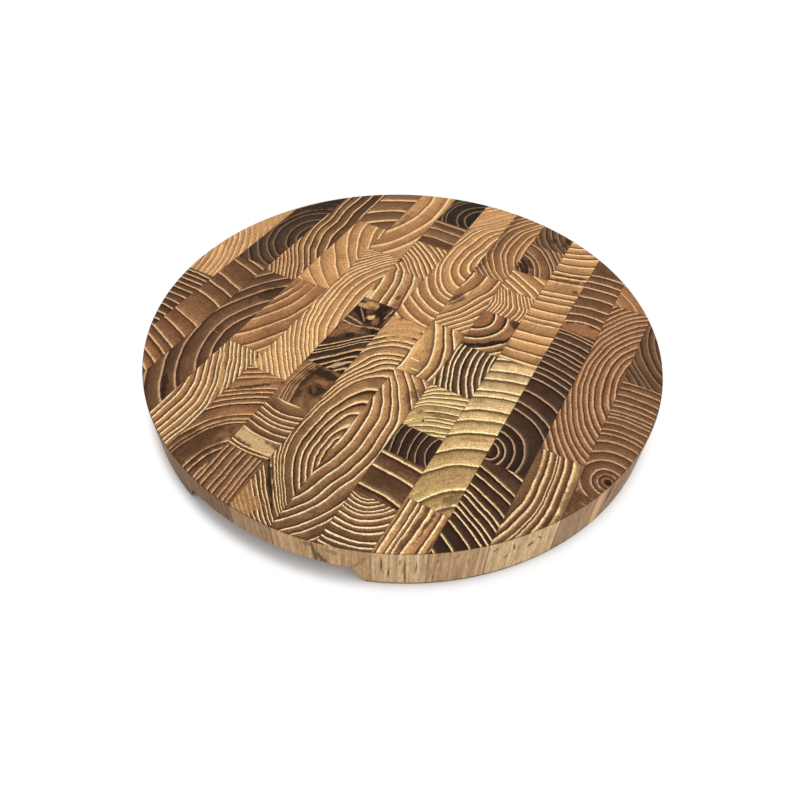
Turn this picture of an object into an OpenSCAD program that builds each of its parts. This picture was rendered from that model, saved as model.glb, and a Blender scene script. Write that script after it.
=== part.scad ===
// Round end-grain chopping block.
// Thirteen strips of hardwood blocks stand on end, glued face to face, and the slab is cut round.
// Two finger grips are cut into the underside of the rim, at the two ends of the strips.
// The strips run along Y, and the board rests on its flat underside, which is centred on the origin.

/* [Board] */
// Diameter of the round board
board_d = 400; // [320:1:480]
// Thickness of the board
board_h = 38; // [30:1:50]
// Radius that breaks the top and bottom edges of the rim
edge_r = 1.2; // [0.5:0.1:3]

/* [Strips and blocks] */
// How many usual strip widths cross the board
strips_across = 12.9; // [12:0.1:14]

/* [Finger grips] */
// Width of a grip along the rim, measured on the underside
grip_w = 144; // [110:1:170]
// How far a grip reaches in from the rim
grip_depth = 24; // [16:1:32]
// Height of a grip's roof above the underside
grip_h = 16.5; // [12:0.5:20]
// Slope of the two ends of a grip, in degrees from the underside
grip_slope = 65; // [45:1:75]
// Radius between a grip's roof and its sloping ends
grip_roof_r = 7; // [4:0.5:8]
// Radius where a sloping end runs out on the underside
grip_foot_r = 5; // [3:0.5:6]
// Radius between a grip's roof and its back wall
grip_back_r = 8; // [3:0.5:10]
// How far a grip sits to the right of the middle line, seen from outside the rim
grip_shift = 6; // [0:1:15]

/* [Hidden] */
$fn = 96;
board_r = board_d / 2;
// Usual width of a strip, which is the unit of the layout of blocks
strip_w = board_d / strips_across;
// Straight steps in each rounded turn of a grip's outline
arc_steps = 8;
// Every cutting shape runs past the board by this much
past = 5;

// Joints between neighbouring strips, as ratios of the strip width from the middle of the board
strip_joint_ratios = [-5.55, -4.55, -3.55, -2.53, -1.5, -0.47, 0.54, 1.5, 2.53, 3.5, 4.44, 5.45];

// Joints between the blocks of each strip, as ratios of the strip width, far end first
block_joint_ratios = [
    [-0.81],
    [0.32],
    [0.18],
    [3.6, 0.31, -2.6],
    [2.53, -3.06],
    [4.87, 3.56, 2.03, 0.53, -2.22, -3.58, -5.21],
    [0.29],
    [3.03, 0.56, -1.4],
    [5.15, 3.71, 2.77, 1.66, 0.18, -1.42, -2.84, -3.66, -4.87],
    [0.24, -4.5],
    [2, -2.85],
    [3.61, -1.95],
    [0.97],
];

// Tones of the wood
cream = [0.80, 0.64, 0.40];
tan_wood = [0.66, 0.47, 0.29];
brown = [0.46, 0.31, 0.20];
dark = [0.27, 0.18, 0.13];

// Tone of every block, in the order of its joints
block_tones = [
    [cream, tan_wood],
    [dark, brown],
    [tan_wood, brown],
    [brown, tan_wood, brown, cream],
    [tan_wood, tan_wood, brown],
    [dark, brown, tan_wood, tan_wood, dark, brown, brown, brown],
    [tan_wood, tan_wood],
    [tan_wood, tan_wood, cream, brown],
    [brown, brown, tan_wood, tan_wood, brown, dark, cream, dark, brown, brown],
    [tan_wood, cream, tan_wood],
    [tan_wood, dark, dark],
    [tan_wood, tan_wood, brown],
    [brown, tan_wood],
];

strip_count = len(block_joint_ratios);
function block_count(s) = len(block_joint_ratios[s]) + 1;

// The outer strips and the end blocks run past the rim, where the round cut trims them
function strip_left(s) = s == 0 ? -board_r - past : strip_joint_ratios[s - 1] * strip_w;
function strip_right(s) = s == strip_count - 1 ? board_r + past : strip_joint_ratios[s] * strip_w;
function block_far(s, b) = b == 0 ? board_r + past : block_joint_ratios[s][b - 1] * strip_w;
function block_near(s, b) =
    b == block_count(s) - 1 ? -board_r - past : block_joint_ratios[s][b] * strip_w;

// A number with leading zeros, as long as the largest number that it is counted to
function padded(n, last) = str(last > 9 && n < 10 ? "0" : "", n);
function block_name(s, b) =
    str("strip_", padded(s + 1, strip_count), "_block_", padded(b + 1, block_count(s)));

// Points along an arc, from one angle to another
function arc(centre, r, from, to) = [
    for (i = [0 : arc_steps])
        let (angle = from + (to - from) * i / arc_steps)
            centre + r * [cos(angle), sin(angle)]
];

// The round outline of the slab, with its edges broken
module round_slab() {
    rotate_extrude()
        union() {
            square([board_r - edge_r, board_h]);
            translate([0, edge_r]) square([board_r, board_h - 2 * edge_r]);
            for (z = [edge_r, board_h - edge_r])
                translate([board_r - edge_r, z]) circle(edge_r);
        }
}

// Half of a grip's opening seen from outside the rim: rounded foot, slope, rounded corner, roof
function half_grip_face() =
    let (
        turn_w = sin(grip_slope),
        turn_h = 1 - cos(grip_slope),
        slope_h = grip_h - (grip_roof_r + grip_foot_r) * turn_h,
        foot_x = grip_w / 2,
        roof_x = foot_x - (grip_foot_r + grip_roof_r) * turn_w - slope_h / tan(grip_slope)
    )
    concat(
        [[foot_x, -past]],
        arc([foot_x, grip_foot_r], grip_foot_r, -90, -90 - grip_slope),
        arc([roof_x, grip_h - grip_roof_r], grip_roof_r, 90 - grip_slope, 90)
    );

// A grip's opening seen from its end: open at the rim, with a rounded corner above its back wall
module grip_side() {
    back_y = grip_depth - board_r;
    out_y = -board_r - past;
    translate([out_y, -past])
        square([back_y - out_y, grip_h - grip_back_r + past]);
    translate([out_y, -past])
        square([back_y - grip_back_r - out_y, grip_h + past]);
    translate([back_y - grip_back_r, grip_h - grip_back_r]) circle(grip_back_r);
}

// The space that one finger grip takes out of the near end of the slab
module grip_space() {
    translate([grip_shift, 0, 0])
        intersection() {
            translate([0, grip_depth - board_r, 0])
                rotate([90, 0, 0])
                    linear_extrude(grip_depth + past)
                        for (side = [0, 1])
                            mirror([side, 0])
                                polygon(concat([[0, -past]], half_grip_face(), [[0, grip_h]]));
            rotate([90, 0, 90])
                linear_extrude(grip_w, center = true)
                    grip_side();
        }
}

// One block: its stretch of its strip, trimmed by the round outline and by the grips
module block(s, b) {
    color(block_tones[s][b])
        difference() {
            intersection() {
                round_slab();
                translate([strip_left(s), block_near(s, b), -past])
                    cube([
                        strip_right(s) - strip_left(s),
                        block_far(s, b) - block_near(s, b),
                        board_h + 2 * past,
                    ]);
            }
            for (turn = [0, 180])
                rotate([0, 0, turn]) grip_space();
        }
}

for (s = [0 : strip_count - 1], b = [0 : block_count(s) - 1])
    block(s, b);
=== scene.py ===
from dataclasses import dataclass
import math

import bpy
from mathutils import Matrix, Vector


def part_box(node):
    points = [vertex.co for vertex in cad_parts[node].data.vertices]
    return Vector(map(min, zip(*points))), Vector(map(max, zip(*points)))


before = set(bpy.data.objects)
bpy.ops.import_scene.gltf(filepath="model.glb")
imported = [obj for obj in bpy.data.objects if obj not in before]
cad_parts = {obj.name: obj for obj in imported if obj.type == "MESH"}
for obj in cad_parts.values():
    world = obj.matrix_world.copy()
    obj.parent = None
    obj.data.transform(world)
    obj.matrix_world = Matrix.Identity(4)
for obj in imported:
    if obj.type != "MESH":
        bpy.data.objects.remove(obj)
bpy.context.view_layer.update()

# Sizes below are in millimetres on the board, unless a comment says otherwise
MM = 0.001
BOARD_R = 200.0

# Colours of the oiled end grain, dark to pale
WOODS = {
    "soot": "#27190f",
    "coffee": "#3b281c",
    "cocoa": "#583c2a",
    "umber": "#6e4d34",
    "chestnut": "#7f5b3e",
    "clay": "#936744",
    "russet": "#a06e49",
    "tan": "#b18053",
    "honey": "#c69361",
    "straw": "#d8a76f",
    "gold": "#cfa870",
    "old_gold": "#c09e66",
    "cream": "#e6c28a",
}

# Colours of the pale line that starts each growth ring
PALES = {
    "ash": "#857056",
    "sand": "#cca27c",
    "biscuit": "#eabb88",
    "butter": "#ffd9a0",
    "ivory": "#ffe8b6",
    "lemon": "#fdeeb0",
}

# Colours of the dark wood that ends each growth ring
DARKS = {
    "pitch": "#180f09",
    "ink": "#20130b",
    "bark": "#382113",
    "rust": "#50301c",
    "nut": "#654228",
    "amber": "#865b38",
}

# Colours of the long grain that shows on the rim
SIDES = {
    "tan_side": "#d3aa7d",
    "cream_side": "#e2bf90",
    "brown_side": "#cda67c",
    "grey_side": "#b08f6d",
    "dark_side": "#8a694b",
}


@dataclass
class Patch:
    """A blotch of another tone, on the top face at (x, y) or on the rim at (x, height)."""

    x: float
    y: float
    shade: str
    length: float
    width: float
    # How many degrees its length is turned from the X axis
    turn: float = 0
    # How much it covers the wood, from 0 to 1
    strength: float = 0.85


@dataclass
class Block:
    """The wood of one block, as it lies on the top face."""

    # The middle of the growth rings
    pith: tuple
    # How many times longer the rings are along the strip than across it
    stretch: float
    # Places that pale rings pass through
    rings: list
    # Tones of the body of the wood, of the pale lines and of the dark wood before them
    ground: str
    pale: str
    dark: str
    # Another tone that the ground turns to, and the way there in degrees from the X axis
    fade: tuple = ()
    # Width of a pale line
    line: float = 2.0
    # How strongly the rings show
    contrast: float = 1.0
    # Whether more rings are laid at the mean spacing until the block is full
    fill: bool = True
    # How pale the first wood of each ring is, next to its line
    early: float = 0.0
    # How strongly the rays show
    rays: float = 0.12
    # Power that rounds the rings: 2 makes them round, and less makes them pointed
    bow: float = 2.0
    # Pairs of y and how far the rings move there along X
    bend: tuple = ()
    # Pairs of x and how far the rings move there along Y
    sag: tuple = ()
    # Pairs of y and the distance from the pith that counts there along the strip
    rise: tuple = ()
    # Tone of the long grain
    side: str = "tan_side"
    # Blotches on the end grain, and marks on the rim
    spots: tuple = ()
    marks: tuple = ()


def across(y, *xs):
    """Places on the pale rings, met on a line across the strips."""
    return [Vector((x, y, 0)) for x in xs]


def along(x, *ys):
    """Places on the pale rings, met on a line along the strip."""
    return [Vector((x, y, 0)) for y in ys]


# The wood of every block, read off the board's top face ring by ring
BLOCKS = {
    "strip_01_block_1": Block(
        (-235, -40), 1.5, across(-40, -195.5, -191, -186, -181.5, -176.5, -172.5, -168.5, -164),
        "honey", "butter", "amber", contrast=0.6,
        spots=(Patch(-182, 82, "honey", 60, 84, 0, 0.85), Patch(-174, 70, "tan", 5, 60, 0, 0.5))),
    "strip_01_block_2": Block(
        (-186, -140), 0.6, along(-186, -28, -33, -38.5, -44.5, -51, -58.5, -66.5, -74, -82),
        "cocoa", "biscuit", "ink", fade=("umber", 90), line=3.6),
    "strip_02_block_1": Block(
        (-127, 68), 1.12, across(68, -146, -154.8, -165.3, -171),
        "cocoa", "ash", "ink", fade=("coffee", 135), line=2.2, contrast=0.85,
        spots=(Patch(-156, 128, "soot", 70, 34, 45, 0.8),)),
    "strip_02_block_2": Block(
        (-270, -380), 1,
        along(-156.5, 9.5, -0.5, -22.5, -34, -49, -76, -90, -103, -111, -121, -130),
        "umber", "biscuit", "rust", fade=("clay", -90), line=2.2),
    "strip_03_block_1": Block(
        (1000, 90), 1,
        across(90, -108.5, -118.2, -127.3, -134.6, -140.5, -146.2, -150.3, -154.3, -158.3, -162.4,
               -166.3, -170, -174),
        "tan", "biscuit", "bark", fade=("coffee", 20), line=2.2,
        bend=((5, 35), (15, 30), (25, 25), (33, 19.5), (42, 13.5), (51, 8.2), (60, 5), (70, 2.3),
              (80, 0.7), (90, 0), (100, 0), (110, -1.2), (120, -2.9), (140, -4.2), (170, -6))),
    "strip_03_block_2": Block(
        (-82, -72), 1.38, across(-72, -119.3, -128.7, -142, -151.5),
        "umber", "sand", "bark", line=2.2, bow=1.7,
        spots=(Patch(-116, -18, "ink", 14, 30, -30, 0.6),
               Patch(-123.7, -78.2, "ash", 8, 1.2, -8, 0.9),
               Patch(-119, -141, "pitch", 24, 4, -51, 0.7))),
    "strip_04_block_1": Block(
        (-40, 60), 1, along(-95, 163, 140, 118.7),
        "chestnut", "biscuit", "rust", line=4.5),
    "strip_04_block_2": Block(
        (1000, 100), 1, across(100, -71, -80, -87.5, -99, -109.1, -122.8, -139.7, -154.5, -168),
        "tan", "butter", "amber", fade=("honey", -130), line=2.4, contrast=0.9, fill=False,
        bend=((9, 62), (15, 54), (24, 44.5), (40, 31.5), (48, 26.5), (55, 21.5), (67, 13), (75, 9),
              (83, 5), (91, 2.2), (100, 0), (112, -1.5))),
    "strip_04_block_3": Block(
        (-150, 10), 1.4, across(5, -104, -98, -89.5, -78.3, -66, -58),
        "russet", "biscuit", "nut", fade=("tan", -90), line=2.2,
        spots=(Patch(-92, 4, "russet", 44, 20, -10, 0.65),)),
    "strip_04_block_4": Block(
        (-1000, -150), 1,
        across(-150, -105, -98.6, -93.5, -88.8, -83.5, -80, -74.5, -71.2, -67.3, -63.4, -58.8, -55,
               -51.3),
        "tan", "ivory", "rust", line=1.9, side="dark_side",
        bend=((-185, -2), (-165, 0), (-150, 0), (-141, -0.9), (-134.5, -2.4), (-128, -4.4),
              (-120, -8.2), (-112.4, -12.4), (-104.5, -16.7), (-98, -20), (-90, -24.8), (-80, -31)),
        spots=(Patch(-92.5, -111, "straw", 52, 4, -53, 0.5),
               Patch(-79.5, -84, "ink", 1.3, 5, 15, 0.8))),
    "strip_05_block_1": Block(
        (-110, 162), 1.57, across(162, -92, -64, -50, -40),
        "honey", "butter", "amber", fade=("tan", -90), line=3.8, contrast=0.8, fill=False,
        spots=(Patch(-73, 135, "nut", 6, 30, strength=0.5),)),
    "strip_05_block_2": Block(
        (1000, 10), 1,
        across(10, -117, -112.7, -107.3, -101.5, -97.4, -93.5, -89.4, -84.3, -80, -76.3, -72, -67.8,
               -60.7, -54.1, -47, -40, -33),
        "tan", "butter", "amber", fade=("straw", -90), line=2.0,
        bend=((-95, 50.5), (-80, 38.5), (-70, 30.5), (-64, 26), (-58, 22), (-50, 17), (-40, 11.5),
              (-29, 7.4), (-20, 5), (-10, 2), (10, 0), (30, 0.7), (41, 3), (50, 6), (61, 12),
              (79, 26)),
        spots=(Patch(-73.5, -89, "straw", 7, 6, -30, 0.5),)),
    "strip_05_block_3": Block(
        (-15, -190), 1,
        across(-190, -54, -59, -74, -77, -81.4, -92, -97, -101.5, -105.5, -117, -122, -127, -131),
        "russet", "biscuit", "bark", fade=("chestnut", -90), line=1.8, side="dark_side",
        spots=(Patch(-62, -105, "tan", 44, 6, 38, 0.6),
               Patch(-65, -112.3, "bark", 44, 3.5, 38, 0.8),
               Patch(-60, -137, "russet", 26, 7, 50, 0.5),
               Patch(-64, -172, "bark", 46, 30, 60, 0.5))),
    "strip_06_block_1": Block(
        (-5, 170), 1, across(170, -46.6, -43, -32, -24.5),
        "coffee", "ash", "ink", fade=("soot", 0), line=2.2, fill=False),
    "strip_06_block_2": Block(
        (-30, -50), 1, along(-30, 148.5, 137, 122.5),
        "chestnut", "sand", "rust", line=3.0, rays=0.2,
        spots=(Patch(-30, 143, "rust", 60, 6, strength=0.6),
               Patch(-30, 115.5, "rust", 60, 7, strength=0.6))),
    "strip_06_block_3": Block(
        (-100, 10), 1, along(-30, 108, 101, 95, 89, 83, 77, 71, 66),
        "tan", "butter", "nut", line=2.8,
        spots=(Patch(-46, 75, "bark", 7, 7),)),
    "strip_06_block_4": Block(
        (-1000, 50), 1, across(50, -46, -36, -29, -18.6, -8),
        "honey", "ivory", "nut", line=2.2, fill=False,
        bend=((16, 5.5), (20, 5), (30, 3.4), (40, 2), (50, 0), (57, -2.5), (63, -4.5)),
        spots=(Patch(-44.3, 22, "cream", 5, 15, 12, 0.85), Patch(-21, 30, "rust", 4, 5),
               Patch(-20, 20, "nut", 6, 8, 0, 0.6))),
    "strip_06_block_5": Block(
        (-30, -1000), 1, along(-15.2, -19.5, -24.5, -28.2, -38.5, -47.5, -54.5, -62, -70),
        "cocoa", "biscuit", "pitch", fade=("coffee", -90), line=4.2, fill=False, rays=0.3,
        sag=((-46.5, -33), (-41.4, -28.4), (-37.9, -24.5), (-34.4, -20.8), (-30.8, -16.8),
             (-27.8, -13), (-25, -9.9), (-21.7, -6), (-18.7, -2.8), (-15.2, 0), (-14, 0.5)),
        spots=(Patch(-38, -21.5, "clay", 26, 11, 0, 0.85), Patch(-43, -31, "clay", 9, 18, -40, 0.7),
               Patch(-33, -28.5, "ink", 8, 5, 40, 0.8), Patch(-31, 1, "ink", 60, 36, 0, 0.9),
               Patch(-36, -13.8, "cocoa", 26, 6, 0, 0.7), Patch(-38, 14, "clay", 16, 5, 0, 0.8),
               Patch(-37.5, 9.5, "honey", 14, 8, 10, 0.95), Patch(-32, 3, "umber", 6, 14, 25, 0.7),
               Patch(-42, -6, "nut", 12, 4, -25, 0.7),
               Patch(-28.5, -2.8, "biscuit", 5, 7, -20, 0.9),
               Patch(-23.5, -5.5, "clay", 8, 10, 0, 0.8), Patch(-18.3, 9, "sand", 1.8, 18, -4, 0.7),
               Patch(-16.4, 0, "clay", 1.4, 16, 0, 0.6),
               Patch(-37, -2.5, "sand", 16, 1.2, -50, 0.55),
               Patch(-40, -11, "sand", 15, 1.7, -14, 0.75),
               Patch(-38.5, -17, "biscuit", 18, 1.8, -2, 0.85),
               Patch(-22.5, -13.8, "sand", 15, 1.9, 17, 0.65),
               Patch(-18, -17, "pitch", 5, 6, 30, 0.9),
               Patch(-21.5, -60.5, "sand", 17, 4.6, 45, 0.65))),
    "strip_06_block_6": Block(
        (20, -90), 1, across(-90, -43.5, -41, -39, -36),
        "clay", "sand", "bark", line=1.6, fill=False,
        spots=(Patch(-24, -84, "bark", 34, 40, 0, 0.4), Patch(-25, -75.5, "pitch", 22, 9, 8, 0.8),
               Patch(-22, -91, "ink", 15, 12, -12, 0.8), Patch(-22, -83, "clay", 9, 5, 10, 0.8),
               Patch(-27, -88, "umber", 4, 14, 40, 0.7), Patch(-33, -97, "bark", 4, 16, 20, 0.6),
               Patch(-33, -80, "bark", 6, 22, 0, 0.7))),
    "strip_06_block_7": Block(
        (-32, -70), 1, along(-32, -112, -121.5, -126, -131, -134.5, -140, -146, -157, -160),
        "chestnut", "butter", "rust", line=1.8,
        spots=(Patch(-31, -151.5, "cream", 70, 9, -8, 0.65),)),
    "strip_06_block_8": Block(
        (40, -175), 2, across(-180, -40, -34, -30, -25, -21, -18),
        "clay", "sand", "bark", line=1.8, side="dark_side"),
    "strip_07_block_1": Block(
        (20, 118), 1, across(118, -43, -35.5, -29.4, -22, -15.3, -11.7, -4.5, 2.5, 9.7, 15),
        "honey", "butter", "amber", fade=("tan", -90), line=2.3,
        bend=((118, 0), (130, 2), (140, 4), (150, 6.5), (160, 11.5), (166, 16.5), (172, 21.5),
              (182, 28), (200, 42)),
        rise=((9, 63), (80, 16.5), (100, 5.5), (118, 0)),
        spots=(Patch(-3, 180, "honey", 62, 30, 50, 0.75),)),
    "strip_07_block_2": Block(
        (17, -125), 1,
        across(-125, 13.4, 9.5, 4.9, 0.1, -5.4, -12.5, -15.2, -17.5, -20, -23, -28.7, -32, -36,
               -40),
        "chestnut", "butter", "bark", fade=("honey", 90), line=1.8, side="grey_side",
        bend=((-200, 51), (-190, 38.6), (-180, 28.2), (-172, 21.3), (-166, 16), (-161, 12.2),
              (-155, 7.9), (-149, 4.3), (-145, 2.6), (-142, 1.7), (-138, 1), (-134, 0.2),
              (-127, 0)),
        rise=((-125, 0), (-115, 5.5), (-107, 7.8), (-101.7, 9), (-96.7, 11.3), (-90, 13.9),
              (-84, 16.4), (-79, 18.5), (-72.5, 21), (-64, 25.3), (-55.7, 29), (-41, 33.5),
              (-28, 40), (-9, 51), (9, 60)),
        spots=(Patch(-1.9, -173.7, "pitch", 50, 2.8, -51, 0.85),
               Patch(-3, -2, "honey", 44, 30, 0, 0.9), Patch(-10, -191, "tan", 44, 18, -45, 0.75))),
    "strip_08_block_1": Block(
        (1000, 150), 1, across(150, 7, 13, 19, 27, 31.5, 39, 44.5),
        "tan", "biscuit", "nut", fade=("chestnut", 180), line=2.0,
        bend=((94, 25), (100, 19), (110, 10.5), (120, 5.5), (130, 2), (140, 0.5), (150, 0),
              (160, 1), (170, 3), (180, 7), (190, 12.5), (200, 19)),
        spots=(Patch(19, 150, "rust", 6, 110, strength=0.5),)),
    "strip_08_block_2": Block(
        (-1000, 86), 1, across(86, 6, 19.5, 31.8, 43.8, 50, 56, 62.5, 69, 75),
        "tan", "butter", "nut", fade=("honey", -90), line=2.4,
        bend=((17, -31), (27, -24), (34, -19.5), (43, -14.5), (54, -10), (62, -7), (71, -3),
              (77, -1), (86, 0), (94, -0.7)),
        spots=(Patch(21.5, 54, "coffee", 7, 24, -20, 0.65), Patch(29, 72, "nut", 4, 24, -10, 0.5))),
    "strip_08_block_3": Block(
        (-1000, -30), 1, across(-30, 19.5, 36, 44.5, 52),
        "straw", "ivory", "rust", fade=("tan", -20), line=2.0,
        bend=((-43, -0.8), (-30, 0), (-20, -1.3), (-10, -4), (0, -7.5), (17, -15)),
        spots=(Patch(25, -27.7, "lemon", 7, 1, 0, 0.9), Patch(30, -37.5, "lemon", 10, 1.1, 0, 0.9))),
    "strip_08_block_4": Block(
        (-1000, -100), 1, across(-100, 10, 16.5, 23.6, 31.7, 39.2, 45.2, 55, 61.5, 71),
        "honey", "ivory", "rust", fade=("chestnut", -75), line=1.8,
        bend=((-200, -30), (-197, -27.2), (-193, -23.6), (-189, -20.5), (-181, -15), (-175, -11.8),
              (-168, -8.6), (-162, -7), (-155, -5.8), (-149, -4.3), (-142, -2), (-136, -0.8),
              (-128, 0.4), (-120, 1), (-110, 0.8), (-100, 0), (-92, -1), (-85, -3), (-78, -5.5),
              (-70, -10), (-60, -15.8), (-52, -22), (-44, -28.5)),
        spots=(Patch(42, -61, "rust", 9, 16, -40, 0.6), Patch(37, -52, "nut", 12, 3, -50, 0.5)),
        marks=(Patch(45.2, 22, "bark", 3, 30, 6, 0.75), Patch(42, 34, "rust", 8, 5, 20, 0.5))),
    "strip_09_block_01": Block(
        (100, 200), 1, across(200, 60, 54, 48, 42, 37),
        "umber", "ash", "bark", line=2.0,
        spots=(Patch(63, 174, "pitch", 7, 10, 0, 0.7), Patch(75, 176, "pitch", 7, 16, 0, 0.7))),
    "strip_09_block_02": Block(
        (35, 100), 1.3, across(100, 56.5, 60, 64.2, 68.8, 73, 82, 85.5, 90, 93.2, 96),
        "chestnut", "sand", "bark", fade=("clay", 45), line=1.9,
        spots=(Patch(53, 125, "ink", 12, 32, 28, 0.85), Patch(59, 119, "ink", 8, 8, 0, 0.8))),
    "strip_09_block_03": Block(
        (-5, -15), 1, along(62, 117, 105, 97, 88.5, 81),
        "tan", "butter", "amber", line=2.8, fill=False),
    "strip_09_block_04": Block(
        (-1000, 60), 1, across(60, 47.5, 50.5, 53.3, 56, 58.8, 62, 66, 71, 74.5, 77.5, 81, 84),
        "tan", "butter", "nut", line=1.6,
        bend=((52, -1), (60, 0), (66, 0), (72, -2), (80, -5.5), (86, -9))),
    "strip_09_block_05": Block(
        (40, 43), 1, across(43, 60, 70.3, 81.5, 89.5),
        "russet", "butter", "ink", fade=("clay", -60), line=2.4, fill=False,
        spots=(Patch(72.5, 21.5, "pitch", 24, 4.5, 42, 0.9),
               Patch(58.5, 11, "pitch", 20, 4.5, 28, 0.9), Patch(77, 47, "ink", 8, 14, 0, 0.75),
               Patch(75, 34, "tan", 5, 16, -20, 0.5))),
    "strip_09_block_06": Block(
        (148, 3), 1, across(0, 48, 51.5, 56.7, 62, 66.5, 71.7, 76.2),
        "umber", "ivory", "ink", line=1.9),
    "strip_09_block_07": Block(
        (62, -1000), 1,
        along(77.8, -37.3, -41.6, -46, -51, -54.6, -62, -68.3, -71.8, -76.4, -81.9, -85.4, -90),
        "gold", "lemon", "rust", fade=("old_gold", -90), line=1.8,
        sag=((46.5, -17.5), (50, -13.7), (54, -10), (59.2, -7.2), (65.2, -4.3), (71.8, -1.8),
             (78.4, 0.2)),
        spots=(Patch(68, -70, "amber", 24, 2.6, 23, 0.8),
               Patch(52.6, -79, "old_gold", 16, 20, 0, 0.85), Patch(52.6, -73.3, "amber", 5, 5),
               Patch(50, -82.5, "lemon", 10, 1.2, 52, 0.8),
               Patch(58.6, -79.4, "pitch", 2.2, 2.6, 0, 1.0),
               Patch(74, -53, "bark", 9, 1.1, 24, 0.9))),
    "strip_09_block_08": Block(
        (95, -98), 1, across(-98, 47.9, 54, 61, 66.4, 73, 84),
        "coffee", "sand", "pitch", line=1.1, contrast=0.85, fill=False),
    "strip_09_block_09": Block(
        (30, -400), 1, along(62, -117, -129, -146),
        "umber", "butter", "bark", line=2.4),
    "strip_09_block_10": Block(
        (52, -137), 1, along(52, -153.9, -156.2, -159.5, -162.9, -165.5, -169.5, -174, -178, -184),
        "umber", "ivory", "rust", fade=("clay", 90), line=1.8,
        marks=(Patch(49, 20, "rust", 4, 26, 22, 0.75), Patch(56, 31, "clay", 10, 5, -20, 0.6),
               Patch(72, 24, "clay", 3, 22, -30, 0.5))),
    "strip_10_block_1": Block(
        (72, 210), 1,
        along(93, 165, 157, 146, 133.5, 126.5, 118, 101.5, 94.5, 86.8, 75, 64, 57.7, 44, 33, 20, 9),
        "honey", "butter", "nut", line=2.4,
        spots=(Patch(93, 129.7, "bark", 40, 4, 17, 0.7), Patch(93, 122.3, "bark", 40, 4, 18, 0.7),
               Patch(96, 112, "clay", 24, 15, 0, 0.6), Patch(103.7, 111, "nut", 5, 6),
               Patch(93, 60.5, "clay", 40, 5, 7, 0.6))),
    "strip_10_block_2": Block(
        (125, -175), 1.3, along(93, -4, -14, -26, -33, -47, -58, -71, -87, -103, -128),
        "old_gold", "lemon", "nut", fade=("cream", 90), line=1.9,
        spots=(Patch(103.5, -127, "rust", 8, 20, -25, 0.6),
               Patch(97, -76.5, "amber", 24, 3, 24, 0.5))),
    "strip_10_block_3": Block(
        (-1000, -160), 1, across(-160, 82, 87, 90, 95.5, 104),
        "honey", "ivory", "rust", line=2.0, side="cream_side",
        spots=(Patch(92.8, -158, "rust", 3.4, 44, 0, 0.7), Patch(98, -152, "bark", 3, 26, 0, 0.8)),
        marks=(Patch(84, 24, "rust", 1, 14, 0, 0.8), Patch(88, 14, "rust", 1, 12, 0, 0.8),
               Patch(94, 28, "rust", 1, 10, 0, 0.8), Patch(97, 16, "rust", 1.6, 26, 2, 0.7),
               Patch(103, 22, "nut", 1.2, 18, 0, 0.8))),
    "strip_11_block_1": Block(
        (128, 42), 1, along(123, 143.5, 134, 124.5, 112, 98, 87, 77.5),
        "umber", "biscuit", "rust", line=2.4, fill=False, rays=0.25,
        spots=(Patch(125, 68, "russet", 34, 16, 0, 0.8),)),
    "strip_11_block_2": Block(
        (109, -80), 1.15,
        along(115, 61, 57, 49, 42, 36, 31.5, 26, 18, 11, 5, -2, -17, -30, -38, -54, -62, -70, -78),
        "cocoa", "sand", "ink", fade=("coffee", -90), line=1.8),
    "strip_11_block_3": Block(
        (60, -250), 1,
        along(109, -82, -94, -101, -110, -116, -120, -126, -130, -134.5, -142, -153, -165),
        "cocoa", "butter", "ink", fade=("coffee", -90), line=1.7, side="brown_side"),
    "strip_12_block_1": Block(
        (90, 60), 1, across(60, 165, 175),
        "clay", "biscuit", "amber", line=1.6, contrast=0.7),
    "strip_12_block_2": Block(
        (192, 28), 1.55,
        across(28, 165.5, 161, 156, 151, 147, 143, 139.5, 135.5, 132, 128.5, 125, 121, 117),
        "clay", "sand", "rust", line=2.0),
    "strip_12_block_3": Block(
        (25, -92), 1, across(-90, 144.4, 149, 153.4, 155.4, 159.8, 165.5),
        "chestnut", "butter", "rust", line=3.4, fill=False, early=0.2, side="cream_side",
        spots=(Patch(169, -92, "umber", 8, 60, 0, 0.6), Patch(164, -112, "bark", 8, 16, -25, 0.5),
               Patch(141, -80, "chestnut", 8, 40, 0, 0.5)),
        marks=(Patch(141, 30, "rust", 1.2, 5, -30, 0.9), Patch(147, 18, "bark", 1.4, 4, -40, 0.9),
               Patch(150, 27, "nut", 1.2, 9, 10, 0.8), Patch(158, 24, "bark", 1.8, 6, -25, 0.8),
               Patch(161, 28, "rust", 1, 6, 20, 0.8))),
    "strip_13_block_1": Block(
        (225, 100), 1.2, across(100, 181, 176, 171, 165, 158.5, 155, 151, 146),
        "umber", "ash", "bark", line=1.6),
    "strip_13_block_2": Block(
        (186, -65), 1,
        along(186, 29, 22.5, 15.5, 9, 4, -1.5, -5, -8.5, -14, -21, -25, -31, -39, -46.5, -54, -58,
              -61.5),
        "chestnut", "sand", "rust", fade=("umber", -90), line=1.8, side="grey_side",
        spots=(Patch(186, -65, "rust", 18, 15, 0, 0.5), Patch(186, -65, "ink", 4, 3.5, 30, 0.95),
               Patch(177, -98, "umber", 44, 44, -30, 0.9),
               Patch(171, -88, "bark", 12, 18, -20, 0.4), Patch(178, -84, "bark", 6, 8, 30, 0.4),
               Patch(171, -79, "sand", 1.4, 7, -20, 0.5)),
        marks=(Patch(186, 19, "biscuit", 3, 90, 0, 0.6), Patch(189.5, 26, "rust", 1.8, 22, 0, 0.8),
               Patch(194, 19, "umber", 8, 90, 0, 0.4))),
}


def linear(share):
    """A share of red, green or blue, turned from the sRGB scale of a colour code to plain light."""
    return share / 12.92 if share <= 0.04045 else ((share + 0.055) / 1.055) ** 2.4


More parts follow.
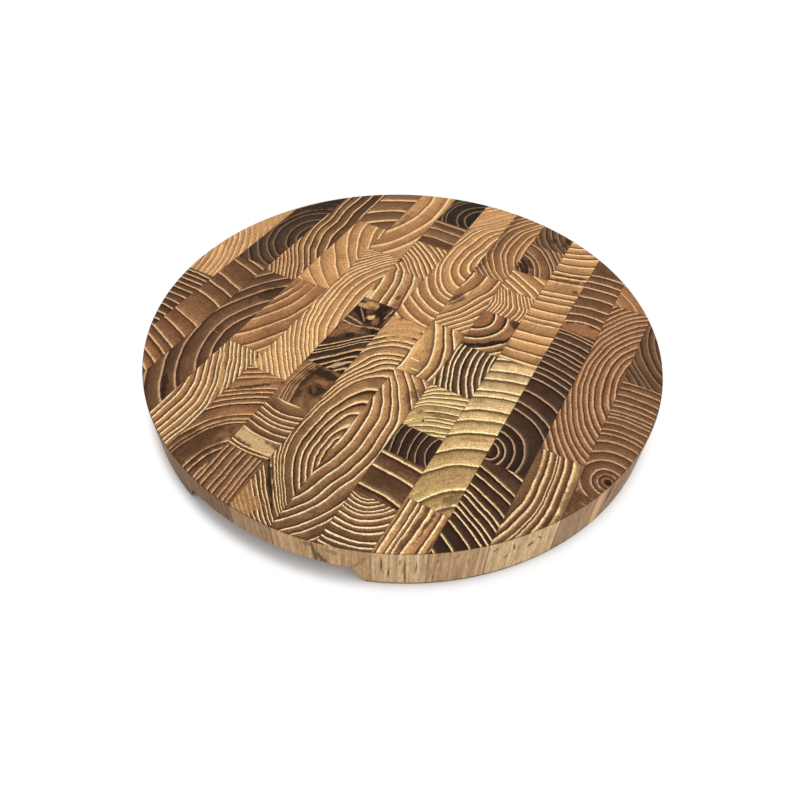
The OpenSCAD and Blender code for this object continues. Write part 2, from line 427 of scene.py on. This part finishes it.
def colour(name):
    """A named colour of the wood, made linear for the shader."""
    code = {**WOODS, **PALES, **DARKS, **SIDES}[name]
    return (*(linear(int(code[i:i + 2], 16) / 255) for i in (1, 3, 5)), 1)


class Nodes:
    """Short calls that lay the nodes of one tree."""

    def __init__(self, tree):
        self.tree = tree

    def node(self, kind, **settings):
        """A new shader node."""
        made = self.tree.nodes.new("ShaderNode" + kind)
        for setting, value in settings.items():
            setattr(made, setting, value)
        return made

    def feed(self, socket, value):
        """Links a socket to another node's output, or sets its value."""
        if isinstance(value, bpy.types.NodeSocket):
            self.tree.links.new(value, socket)
        else:
            socket.default_value = value

    def math(self, operation, *values):
        """The result of one operation on numbers."""
        made = self.node("Math", operation=operation)
        for socket, value in zip(made.inputs, values):
            self.feed(socket, value)
        return made.outputs["Value"]

    def product(self, *values):
        """All the numbers multiplied."""
        total = values[0]
        for value in values[1:]:
            total = self.math("MULTIPLY", total, value)
        return total

    def vector(self, operation, *values):
        """The result of one operation on vectors."""
        made = self.node("VectorMath", operation=operation)
        for socket, value in zip(made.inputs, values):
            self.feed(socket, value)
        return made.outputs["Value" if operation in ("LENGTH", "DOT_PRODUCT") else "Vector"]

    def scaled(self, vector, x, y, z):
        """A vector with each of its parts multiplied."""
        return self.vector("MULTIPLY", vector, (x, y, z))

    def joined(self, x, y):
        """A flat vector from its two parts."""
        made = self.node("CombineXYZ")
        self.feed(made.inputs["X"], x)
        self.feed(made.inputs["Y"], y)
        return made.outputs[0]

    def parted(self, vector):
        """The X, Y and Z parts of a vector."""
        made = self.node("SeparateXYZ")
        self.feed(made.inputs[0], vector)
        return made.outputs

    def step(self, value, low, high, at_low=0.0, at_high=1.0, kind="SMOOTHSTEP"):
        """A soft step from at_low to at_high, and level past both ends."""
        made = self.node("MapRange", interpolation_type=kind)
        for socket, given in zip(made.inputs, (value, low, high, at_low, at_high)):
            self.feed(socket, given)
        return made.outputs["Result"]

    def ramp(self, value, low, high, at_low=0.0, at_high=1.0):
        """A straight ramp from at_low to at_high, and level past both ends."""
        return self.step(value, low, high, at_low, at_high, "LINEAR")

    def between(self, value, rise, fall):
        """1 from the end of the rise to the start of the fall, and 0 outside them."""
        return self.product(self.step(value, *rise), self.step(value, *fall, 1.0, 0.0))

    def noise(self, place, size, detail=2.0, roughness=0.5):
        """The outputs of a noise whose lumps have a given size along each axis."""
        made = self.node("TexNoise")
        self.feed(made.inputs["Vector"], self.scaled(place, *(1 / length for length in size)))
        made.inputs["Scale"].default_value = 1.0
        made.inputs["Detail"].default_value = detail
        made.inputs["Roughness"].default_value = roughness
        return made.outputs

    def unrest(self, place, size, detail=2.0):
        """A small vector around zero that changes from place to place."""
        return self.vector("SUBTRACT", self.noise(place, size, detail)["Color"], (0.5, 0.5, 0.5))

    def toned(self, tone, shade):
        """A colour made lighter or darker by a tone."""
        made = self.node("VectorMath", operation="SCALE")
        self.feed(made.inputs[0], shade if isinstance(shade, bpy.types.NodeSocket) else shade[:3])
        self.feed(made.inputs["Scale"], tone)
        return made.outputs["Vector"]

    def mix(self, share, below, above):
        """One colour laid over another by a share."""
        made = self.node("Mix", data_type="RGBA")
        for name, value in (("Factor_Float", share), ("A_Color", below), ("B_Color", above)):
            self.feed(next(socket for socket in made.inputs if socket.identifier == name), value)
        return next(socket for socket in made.outputs if socket.identifier == "Result_Color")

    def seen_by_eye(self):
        """1 where the camera looks straight at a surface, or sees it mirrored or through glass."""
        path = self.node("LightPath").outputs
        seen = self.math("MAXIMUM", path["Is Camera Ray"], path["Is Glossy Ray"])
        return self.math("MAXIMUM", seen, path["Is Transmission Ray"])


class Finish(Nodes):
    """One new material, its nodes and its surface."""

    def __init__(self, name):
        self.material = bpy.data.materials.new(name)
        self.material.use_nodes = True
        super().__init__(self.material.node_tree)
        self.surface = self.tree.nodes["Principled BSDF"]


def ring_radius(wood, place):
    """How far a place is from the pith, measured across the strip."""
    offset = place - Vector((*wood.pith, 0))
    return (abs(offset.x) ** wood.bow + abs(offset.y / wood.stretch) ** wood.bow) ** (1 / wood.bow)


def ring_radii(wood, corners):
    """The radius of every pale ring, with more rings at the mean spacing until the block is full."""
    radii = sorted(ring_radius(wood, place) for place in wood.rings)
    if not wood.fill:
        return radii
    shifts = [Vector()]
    shifts += [Vector((shift, 0, 0)) for _, shift in wood.bend]
    shifts += [Vector((0, shift, 0)) for _, shift in wood.sag]
    reach = [ring_radius(wood, corner - shift) for corner in corners for shift in shifts]
    gap = (radii[-1] - radii[0]) / (len(radii) - 1)
    while radii[0] > min(reach) - gap and radii[0] > 0:
        radii.insert(0, radii[0] - gap)
    while radii[-1] < max(reach) + gap:
        radii.append(radii[-1] + gap)
    return radii


# Shares of a ring's count that half its pale line and the dark band before that line take up
LINE_SHARE = 0.2
BAND_SHARE = 0.25
# Half the drawn width of a pale line, as a share of the width that its block gives
LINE_WIDTH = 0.36
# Width of a dark band
BAND_WIDTH = 2.2
# Largest widths of a pale line and a dark band, as shares of the gap between two rings
LINE_LIMIT = 0.5
BAND_LIMIT = 0.3
# How far the count runs on before the first ring and past the last one, and by how much
END_RUN = 3
END_COUNT = 0.15
# Most straight pieces that one curve node is given
CURVE_PIECES = 16


def ring_counts(radii, line_width):
    """Pairs of a distance from the pith and its count of rings, which is whole at each pale line."""
    gaps = [b - a for a, b in zip(radii, radii[1:])]
    points = []
    for i, radius in enumerate(radii):
        gap = min(gaps[max(i - 1, 0)], gaps[min(i, len(gaps) - 1)])
        half = LINE_WIDTH * min(line_width, LINE_LIMIT * gap)
        band = min(BAND_WIDTH, BAND_LIMIT * gap)
        points.append((radius - half - band, i + 1 - LINE_SHARE - BAND_SHARE))
        points.append((radius - half, i + 1 - LINE_SHARE))
        points.append((radius + half, i + 1 + LINE_SHARE))
    first, last = points[0], points[-1]
    run_in = (first[0] - END_RUN, first[1] - END_COUNT)
    run_out = (last[0] + END_RUN, last[1] + END_COUNT)
    return [run_in, *points, run_out]


def count_rings(finish, radius, wood, corners):
    """Turns the distance from the pith into the count of rings."""
    points = ring_counts(ring_radii(wood, corners), wood.line)
    count = points[0][1]
    for first in range(0, len(points) - 1, CURVE_PIECES):
        part = points[first:first + CURVE_PIECES + 1]
        (start, low), (end, high) = part[0], part[-1]
        curve = finish.node("FloatCurve")
        finish.feed(curve.inputs["Value"], finish.ramp(radius, start, end))
        line = curve.mapping.curves[0]
        for place, number in part[1:-1]:
            line.points.new((place - start) / (end - start), (number - low) / (high - low))
        for point in line.points:
            point.handle_type = "VECTOR"
        curve.mapping.update()
        count = finish.math("MULTIPLY_ADD", curve.outputs["Value"], high - low, count)
    return count


def drawn_curve(finish, value, points):
    """A smooth curve through a few places read off the board."""
    start, end = points[0][0], points[-1][0]
    levels = [level for _, level in points]
    low, high = min(levels), max(levels)
    curve = finish.node("FloatCurve")
    finish.feed(curve.inputs["Value"], finish.ramp(value, start, end))
    line = curve.mapping.curves[0]
    for place, level in points[1:-1]:
        line.points.new((place - start) / (end - start), (level - low) / (high - low))
    for point, level in zip((line.points[0], line.points[-1]), (levels[0], levels[-1])):
        point.location.y = (level - low) / (high - low)
    curve.mapping.update()
    return finish.ramp(curve.outputs["Value"], 0.0, 1.0, low, high)


def straightened(finish, wood, place):
    """Undoes the drawn bend of the rings, so that round rings can be laid."""
    if not (wood.bend or wood.sag):
        return place
    x, y, _ = finish.parted(place)
    across_bend = drawn_curve(finish, y, wood.bend) if wood.bend else 0.0
    along_sag = drawn_curve(finish, x, wood.sag) if wood.sag else 0.0
    return finish.vector("SUBTRACT", place, finish.joined(across_bend, along_sag))


def pith_offset(finish, wood, place):
    """How far a place lies from the pith, across the strip and along it."""
    offset = finish.vector("SUBTRACT", place, (*wood.pith, 0))
    if not wood.rise:
        return finish.scaled(offset, 1, 1 / wood.stretch, 0)
    along_strip = drawn_curve(finish, finish.parted(place)["Y"], wood.rise)
    return finish.joined(finish.parted(offset)["X"], along_strip)


def pith_distance(finish, wood, offset):
    """The shader's own measure of ring_radius."""
    if wood.bow == 2:
        return finish.vector("LENGTH", offset)
    x, y, _ = finish.parted(offset)
    legs = [finish.math("POWER", finish.math("ABSOLUTE", leg), wood.bow) for leg in (x, y)]
    return finish.math("POWER", finish.math("ADD", *legs), 1 / wood.bow)


# Each pair is a low and a high value of a noise or a share. Each row of four adds what they turn into.

# Where a patch's edge fades, as shares of its size, and how ragged the edge is
PATCH_EDGE = (0.3, 0.62)
PATCH_RAGS = (0.2, 0.8, -0.3, 0.3)


def lay_patch(finish, body, place, mottle, patch):
    """Lays one blotch over the wood, with a ragged edge."""
    turn = math.radians(patch.turn)
    length_way = (math.cos(turn) / patch.length, math.sin(turn) / patch.length, 0)
    width_way = (-math.sin(turn) / patch.width, math.cos(turn) / patch.width, 0)
    offset = finish.vector("SUBTRACT", place, (patch.x, patch.y, 0))
    run = finish.vector("DOT_PRODUCT", offset, length_way)
    rise = finish.vector("DOT_PRODUCT", offset, width_way)
    away = finish.math("SQRT", finish.math("ADD", finish.product(run, run), finish.product(rise, rise)))
    ragged = finish.math("ADD", away, finish.step(mottle, *PATCH_RAGS))
    return finish.mix(finish.step(ragged, *PATCH_EDGE, patch.strength, 0.0), body, colour(patch.shade))


# Sizes of the patterns in a block: across the strip, along it and down through the block
DRIFT_SIZE = (30, 30, 300)
WAVER_SIZE = (3.5, 3.5, 60)
PORE_SIZE = (1.1, 1.1, 9)
MOTTLE_SIZE = (7, 7, 60)
CLOUD_SIZE = (18, 26, 200)
# How far the rings drift from their drawn lines, and how far they waver
DRIFT = 4.0
WAVER = 1.0
# Every block takes its patterns from a place of its own, and its rings their luck
BLOCK_STEP = (31.0, 17.0, 7.0)
LUCK_STEP = 13.7


class Grain:
    """The places, rings and patterns of one block that its end grain and long grain are made from."""

    def __init__(self, finish, place, wood, corners, number):
        seeded = finish.vector("ADD", place, tuple(step * number for step in BLOCK_STEP))
        self.seeded = seeded
        self.waver = finish.unrest(seeded, WAVER_SIZE)
        drift = finish.unrest(seeded, DRIFT_SIZE, detail=1.0)
        moved = finish.vector("ADD", place, finish.scaled(drift, DRIFT, DRIFT, 0))
        self.moved = finish.vector("ADD", moved, finish.scaled(self.waver, WAVER, WAVER, 0))
        self.offset = pith_offset(finish, wood, straightened(finish, wood, self.moved))
        self.radius = pith_distance(finish, wood, self.offset)
        self.pores = finish.noise(seeded, PORE_SIZE, detail=3.0, roughness=0.8)["Fac"]
        self.mottle = finish.noise(seeded, MOTTLE_SIZE, detail=3.0, roughness=0.6)["Fac"]
        self.cloud = finish.noise(seeded, CLOUD_SIZE)["Fac"]
        count = count_rings(finish, self.radius, wood, corners)
        # How far through its ring a place lies
        self.through = finish.math("FRACT", count)
        ring = finish.math("FLOOR", finish.math("ADD", count, LINE_SHARE + BAND_SHARE))
        # Three values by chance for each ring
        chance = finish.node("TexWhiteNoise", noise_dimensions="1D")
        finish.feed(chance.inputs["W"], finish.math("ADD", ring, LUCK_STEP * number))
        luck = finish.node("SeparateColor")
        finish.feed(luck.inputs[0], chance.outputs["Color"])
        self.luck = luck.outputs


def ground_tone(finish, wood, place, corners):
    """The tone of the block before its rings are laid, which may fade to another one."""
    ground = colour(wood.ground)
    if not wood.fade:
        return ground
    shade, way = wood.fade
    direction = Vector((math.cos(math.radians(way)), math.sin(math.radians(way)), 0))
    reach = [corner.dot(direction) for corner in corners]
    level = finish.vector("DOT_PRODUCT", place, direction)
    return finish.mix(finish.step(level, min(reach), max(reach)), ground, colour(shade))


# Ways through one ring, from the middle of its pale line at 0 to the next one at 1
LINE_START = (0.80, 0.89)
LINE_END = (0.06, 0.27)
BAND_START = (0.48, 0.68)
BAND_END = (0.79, 0.86)
EARLY_START = (0.06, 0.1)
EARLY_END = (0.18, 0.46)
LATE_START = (0.2, 0.55)
# Strength of the dark late wood that leads up to a dark band
LATE_WOOD = 0.4
# Sizes of the rays and of the fine growth streaks: along a ring and across it
RAY_SIZE = (0.8, 9, 1)
STREAK_SIZE = (22, 1.1, 1)
# Tones and strengths that each ring gets by luck
RING_TONES = (0.0, 1.0, 0.84, 1.2)
BAND_LUCK = (0.0, 1.0, 0.66, 1.0)
LINE_LUCK = (0.0, 1.0, 0.86, 1.0)
# Tones and strengths that change within a ring
MOTTLE_TONES = (0.25, 0.75, 0.86, 1.14)
STREAK_TONES = (0.28, 0.72, 0.77, 1.29)
CLOUD_TONES = (0.48, 0.75, 0.0, 0.4)
BROKEN_LINES = (0.3, 0.6, 0.75, 1.0)
PORE_TONES = (0.3, 0.7, 0.5, 1.5)
RAY_SPAN = (0.3, 0.7)


def pale_lines(finish, grain):
    """How much of a pale line a place holds."""
    line_start = finish.step(grain.through, *LINE_START)
    line_end = finish.step(grain.through, *LINE_END, 1.0, 0.0)
    return finish.math("MAXIMUM", line_start, line_end)


def turned_patterns(finish, wood, grain, corners):
    """Rays that run out from the pith, and fine growth streaks that run along the rings."""
    x, y, _ = finish.parted(grain.offset)
    middle = sum(ring_radius(wood, corner) for corner in corners) / len(corners)
    turned = finish.product(finish.math("ARCTAN2", y, x), middle)
    unrolled = finish.joined(turned, grain.radius)
    rays = finish.noise(unrolled, RAY_SIZE, roughness=0.6)["Fac"]
    streaks = finish.noise(unrolled, STREAK_SIZE, detail=3.0)["Fac"]
    return rays, streaks


def ring_colour(finish, wood, grain, ground, streaks, pale_share):
    """The growth rings: pale lines, dark bands before them and the wood between, with its blotches."""
    tones = finish.product(
        finish.ramp(grain.luck["Red"], *RING_TONES),
        finish.step(grain.mottle, *MOTTLE_TONES),
        finish.ramp(streaks, *STREAK_TONES))
    body = finish.toned(tones, ground)
    dark = colour(wood.dark)
    pale = colour(wood.pale)
    body = finish.mix(finish.step(grain.cloud, *CLOUD_TONES), body, dark)
    if wood.early:
        early_wood = finish.between(grain.through, EARLY_START, EARLY_END)
        body = finish.mix(finish.product(early_wood, wood.early), body, pale)
    late_wood = finish.between(grain.through, LATE_START, BAND_END)
    body = finish.mix(finish.product(late_wood, LATE_WOOD * wood.contrast), body, dark)
    dark_band = finish.between(grain.through, BAND_START, BAND_END)
    band_luck = finish.ramp(grain.luck["Green"], *BAND_LUCK)
    body = finish.mix(finish.product(dark_band, band_luck, wood.contrast), body, dark)
    broken = finish.step(grain.mottle, *BROKEN_LINES)
    line_luck = finish.ramp(grain.luck["Blue"], *LINE_LUCK)
    body = finish.mix(finish.product(pale_share, broken, line_luck, wood.contrast), body, pale)
    for spot in wood.spots:
        body = lay_patch(finish, body, grain.moved, grain.mottle, spot)
    return body


# Sizes of the long grain's patterns: across the strip, along it and up the rim
SIDE_STREAK_SIZE = (2.2, 2.2, 34)
FIBRE_SIZE = (0.9, 0.9, 5)
DASH_SIZE = (1.3, 1.3, 8)
# How far the long grain leans and wanders
LEAN = 3.0
# Share of the end grain's tone that the long grain takes on
SIDE_BODY = 0.14
SIDE_STREAK_TONES = (0.3, 0.7, 0.66, 1.16)
FIBRE_TONES = (0.3, 0.7, 0.76, 1.2)
# Short dark dashes where the noise is lowest
DASHES = (0.24, 0.34, 0.75, 0.0)


def long_grain(finish, wood, grain, parts, body):
    """The same wood seen along its length, on the rim and in the grips: paler and streaked upright."""
    leant = finish.vector("ADD", grain.seeded, finish.scaled(grain.waver, LEAN, LEAN, 0))
    streak = finish.noise(leant, SIDE_STREAK_SIZE, detail=5.0, roughness=0.7)["Fac"]
    fibre = finish.noise(leant, FIBRE_SIZE, detail=3.0, roughness=0.7)["Fac"]
    dash = finish.noise(grain.seeded, DASH_SIZE, detail=1.0)["Fac"]
    side = finish.mix(SIDE_BODY, colour(wood.side), body)
    side = finish.toned(finish.step(streak, *SIDE_STREAK_TONES), side)
    side = finish.toned(finish.ramp(fibre, *FIBRE_TONES), side)
    side = finish.mix(finish.step(dash, *DASHES), side, colour("nut"))
    on_rim = finish.joined(parts["X"], parts["Z"])
    for mark in wood.marks:
        side = lay_patch(finish, side, on_rim, streak, mark)
    return side


# How upright the surface's normal is where the long grain ends and the end grain starts
GRAIN_TURN = (0.35, 0.75)
# The darker line along the broken edges of the rim: where it starts, where it ends, its strength
EDGE_START = (0.2, 0.4)
EDGE_END = (0.85, 0.97)
EDGE_STRENGTH = 0.45
# Heights between which the foot of the rim is darkened by a painted contact shadow where it meets the
# table, and how much
FOOT_SHADOW = (1.4, 2.6, 0.75, 0.0)
# The painted foot shadow leaves the flat underside out
FOOT_SHADOW_END = (0.9, 0.99)
# How far from a glued face its dark line fades, and how dark it is
JOINT_LINE = (0.1, 0.45, 1.0, 0.0)
JOINT_STRENGTH = 0.55
# A face counts as glued when its nearer end lies at least this far inside the rim
RIM_MARGIN = 0.5


def joint_lines(finish, parts, low, high):
    """How close a place is to a glued face of its block: 1 on the joint, 0 away from it."""
    nearest = None
    for axis, other in ((0, 1), (1, 0)):
        for limit in (low[axis], high[axis]):
            if min(math.hypot(limit, end) for end in (low[other], high[other])) > BOARD_R - RIM_MARGIN:
                continue
            gap = finish.math("ABSOLUTE", finish.math("SUBTRACT", parts[axis], limit))
            nearest = gap if nearest is None else finish.math("MINIMUM", nearest, gap)
    return finish.step(nearest, *JOINT_LINE)


def faces_and_edges(finish, texture, parts, top, side, joint):
    """End grain on the flat faces, long grain on the upright ones, darker edges and joints, and a
    painted contact shadow at the foot.
    """
    upright = finish.math("ABSOLUTE", finish.parted(texture.outputs["Normal"])["Z"])
    wood_colour = finish.mix(finish.step(upright, *GRAIN_TURN), side, top)
    edge = finish.product(finish.between(upright, EDGE_START, EDGE_END), EDGE_STRENGTH)
    wood_colour = finish.mix(edge, wood_colour, colour("rust"))
    # Painted shade: the lowest millimetres of the rim are darkened with ink to stand in for the board's
    # contact shadow on the table
    painted_foot_shadow = finish.product(finish.step(parts["Z"], *FOOT_SHADOW), finish.step(upright, *FOOT_SHADOW_END, 1.0, 0.0))
    wood_colour = finish.mix(painted_foot_shadow, wood_colour, colour("ink"))
    return finish.mix(finish.product(joint, JOINT_STRENGTH), wood_colour, colour("bark"))


# Roughness of the oiled wood, from its pores to the wood between them, and its low shine
ROUGHNESS = (0.3, 0.7, 0.66, 0.5)
SHINE = 0.06
# How far pale lines and pores stand out and joints lie in, as shares of the grain's height in metres
LINE_HEIGHT = 0.35
PORE_HEIGHT = 0.8
JOINT_DEPTH = 0.8
GRAIN_STRENGTH = 0.5
GRAIN_HEIGHT = 0.00012


def oiled_surface(finish, pores, pale_share, joint):
    """The shine of oiled wood, and the very low relief of its grain."""
    finish.feed(finish.surface.inputs["Roughness"], finish.step(pores, *ROUGHNESS))
    finish.surface.inputs["Specular IOR Level"].default_value = SHINE
    lines_height = finish.product(pale_share, LINE_HEIGHT)
    height = finish.math("ADD", lines_height, finish.product(pores, PORE_HEIGHT))
    height = finish.math("SUBTRACT", height, finish.product(joint, JOINT_DEPTH))
    bump = finish.node("Bump")
    bump.inputs["Strength"].default_value = GRAIN_STRENGTH
    bump.inputs["Distance"].default_value = GRAIN_HEIGHT
    finish.feed(bump.inputs["Height"], height)
    finish.feed(finish.surface.inputs["Normal"], bump.outputs["Normal"])


def oiled_wood(name, wood, number):
    """The oiled end grain of one block, and its long grain where the rim cuts it."""
    low, high = (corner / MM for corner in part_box(name))
    corners = [Vector((x, y, 0)) for x in (low.x, high.x) for y in (low.y, high.y)]
    finish = Finish("wood_" + name)
    texture = finish.node("TexCoord")
    place = finish.toned(1 / MM, texture.outputs["Object"])
    parts = finish.parted(place)
    grain = Grain(finish, place, wood, corners, number)

    rays, streaks = turned_patterns(finish, wood, grain, corners)
    pale_share = pale_lines(finish, grain)
    ground = ground_tone(finish, wood, place, corners)
    body = ring_colour(finish, wood, grain, ground, streaks, pale_share)
    pore_tone = finish.ramp(grain.pores, *PORE_TONES)
    ray_tone = finish.ramp(rays, *RAY_SPAN, 1 - wood.rays, 1 + wood.rays)
    top = finish.toned(finish.product(pore_tone, ray_tone), body)
    side = long_grain(finish, wood, grain, parts, body)
    joint = joint_lines(finish, parts, low, high)

    wood_colour = faces_and_edges(finish, texture, parts, top, side, joint)
    finish.feed(finish.surface.inputs["Base Color"], wood_colour)
    oiled_surface(finish, grain.pores, pale_share, joint)
    return finish.material


def dress_blocks():
    """Gives every block of the board its own wood."""
    for number, (name, wood) in enumerate(BLOCKS.items()):
        material = oiled_wood(name, wood, number)
        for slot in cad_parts[name].material_slots:
            slot.material = material


# Width of the floor in metres, and its grey and roughness
FLOOR_WIDTH = 8
FLOOR_GREY = (0.94, 0.94, 0.94, 1)
FLOOR_ROUGHNESS = 0.9
# The floor keeps the board's shadow close to the rim, and fades to white for the camera over these
# distances from the board's middle
SHADOW_FADE = (199, 208)


def lay_floor():
    """The plain pale floor that the board rests on, white to the camera away from the board."""
    bpy.ops.mesh.primitive_plane_add(size=FLOOR_WIDTH)
    floor = bpy.context.object
    floor.name = "floor"
    finish = Finish("pale_floor")
    finish.surface.inputs["Base Color"].default_value = FLOOR_GREY
    finish.surface.inputs["Roughness"].default_value = FLOOR_ROUGHNESS
    finish.surface.inputs["Specular IOR Level"].default_value = 0.0
    place = finish.toned(1 / MM, finish.node("TexCoord").outputs["Object"])
    away = finish.vector("LENGTH", place)
    white = finish.node("Emission")
    blend = finish.node("MixShader")
    finish.feed(blend.inputs[0], finish.product(finish.step(away, *SHADOW_FADE), finish.seen_by_eye()))
    finish.feed(blend.inputs[1], finish.surface.outputs[0])
    finish.feed(blend.inputs[2], white.outputs[0])
    finish.feed(finish.tree.nodes["Material Output"].inputs["Surface"], blend.outputs[0])
    floor.data.materials.append(finish.material)


# Strength of the even sky that lights the board, and of the white that the camera sees behind it
SKY_STRENGTH = 0.68
BACKDROP_STRENGTH = 1.0
# Place of the soft lamp in metres, and its width and power. It is aimed at the board's middle
LAMP_PLACE = Vector((0.55, 0.15, 1.45))
LAMP_WIDTH = 1.8
LAMP_POWER = 13.2


def light_sky():
    """An even sky that lights the board, and a white background for the camera."""
    world = bpy.data.worlds.new("studio")
    bpy.context.scene.world = world
    world.use_nodes = True
    world.node_tree.nodes.clear()
    studio = Nodes(world.node_tree)
    sky = studio.node("Background")
    sky.inputs["Color"].default_value = (1, 1, 1, 1)
    sky.inputs["Strength"].default_value = SKY_STRENGTH
    backdrop = studio.node("Background")
    backdrop.inputs["Color"].default_value = (1, 1, 1, 1)
    backdrop.inputs["Strength"].default_value = BACKDROP_STRENGTH
    choice = studio.node("MixShader")
    studio.feed(choice.inputs[0], studio.seen_by_eye())
    studio.feed(choice.inputs[1], sky.outputs[0])
    studio.feed(choice.inputs[2], backdrop.outputs[0])
    studio.feed(studio.node("OutputWorld").inputs["Surface"], choice.outputs[0])


def hang_softbox():
    """One large soft lamp overhead."""
    lamp = bpy.data.lights.new("softbox", "AREA")
    lamp.shape = "DISK"
    lamp.size = LAMP_WIDTH
    lamp.energy = LAMP_POWER
    softbox = bpy.data.objects.new("softbox", lamp)
    softbox.location = LAMP_PLACE
    softbox.rotation_euler = (-LAMP_PLACE).to_track_quat("-Z", "Y").to_euler()
    bpy.context.scene.collection.objects.link(softbox)


# The photograph's viewpoint, solved from the outlines of the board's top and foot: where the camera
# stands in metres, its turn about the upright, how far it looks down and its roll in degrees
CAMERA_PLACE = (0.1780, -0.3425, 0.3789)
CAMERA_HEADING = 27.66
CAMERA_DOWN = 47.91
CAMERA_ROLL = 1.69
# Width of the camera's sensor and length of its lens
SENSOR_WIDTH = 36
LENS = 28.985


def set_camera():
    """The photograph's viewpoint, with the strips running up to the right."""
    lens = bpy.data.cameras.new("camera")
    lens.sensor_width = SENSOR_WIDTH
    lens.lens = LENS
    camera = bpy.data.objects.new("camera", lens)
    heading = Matrix.Rotation(math.radians(CAMERA_HEADING), 4, "Z")
    tilt = Matrix.Rotation(math.radians(90 - CAMERA_DOWN), 4, "X")
    roll = Matrix.Rotation(math.radians(CAMERA_ROLL), 4, "Z")
    camera.matrix_world = Matrix.Translation(CAMERA_PLACE) @ heading @ tilt @ roll
    bpy.context.scene.collection.objects.link(camera)
    bpy.context.scene.camera = camera


dress_blocks()
lay_floor()
light_sky()
hang_softbox()
set_camera()
bpy.context.scene.view_settings.view_transform = "Standard"
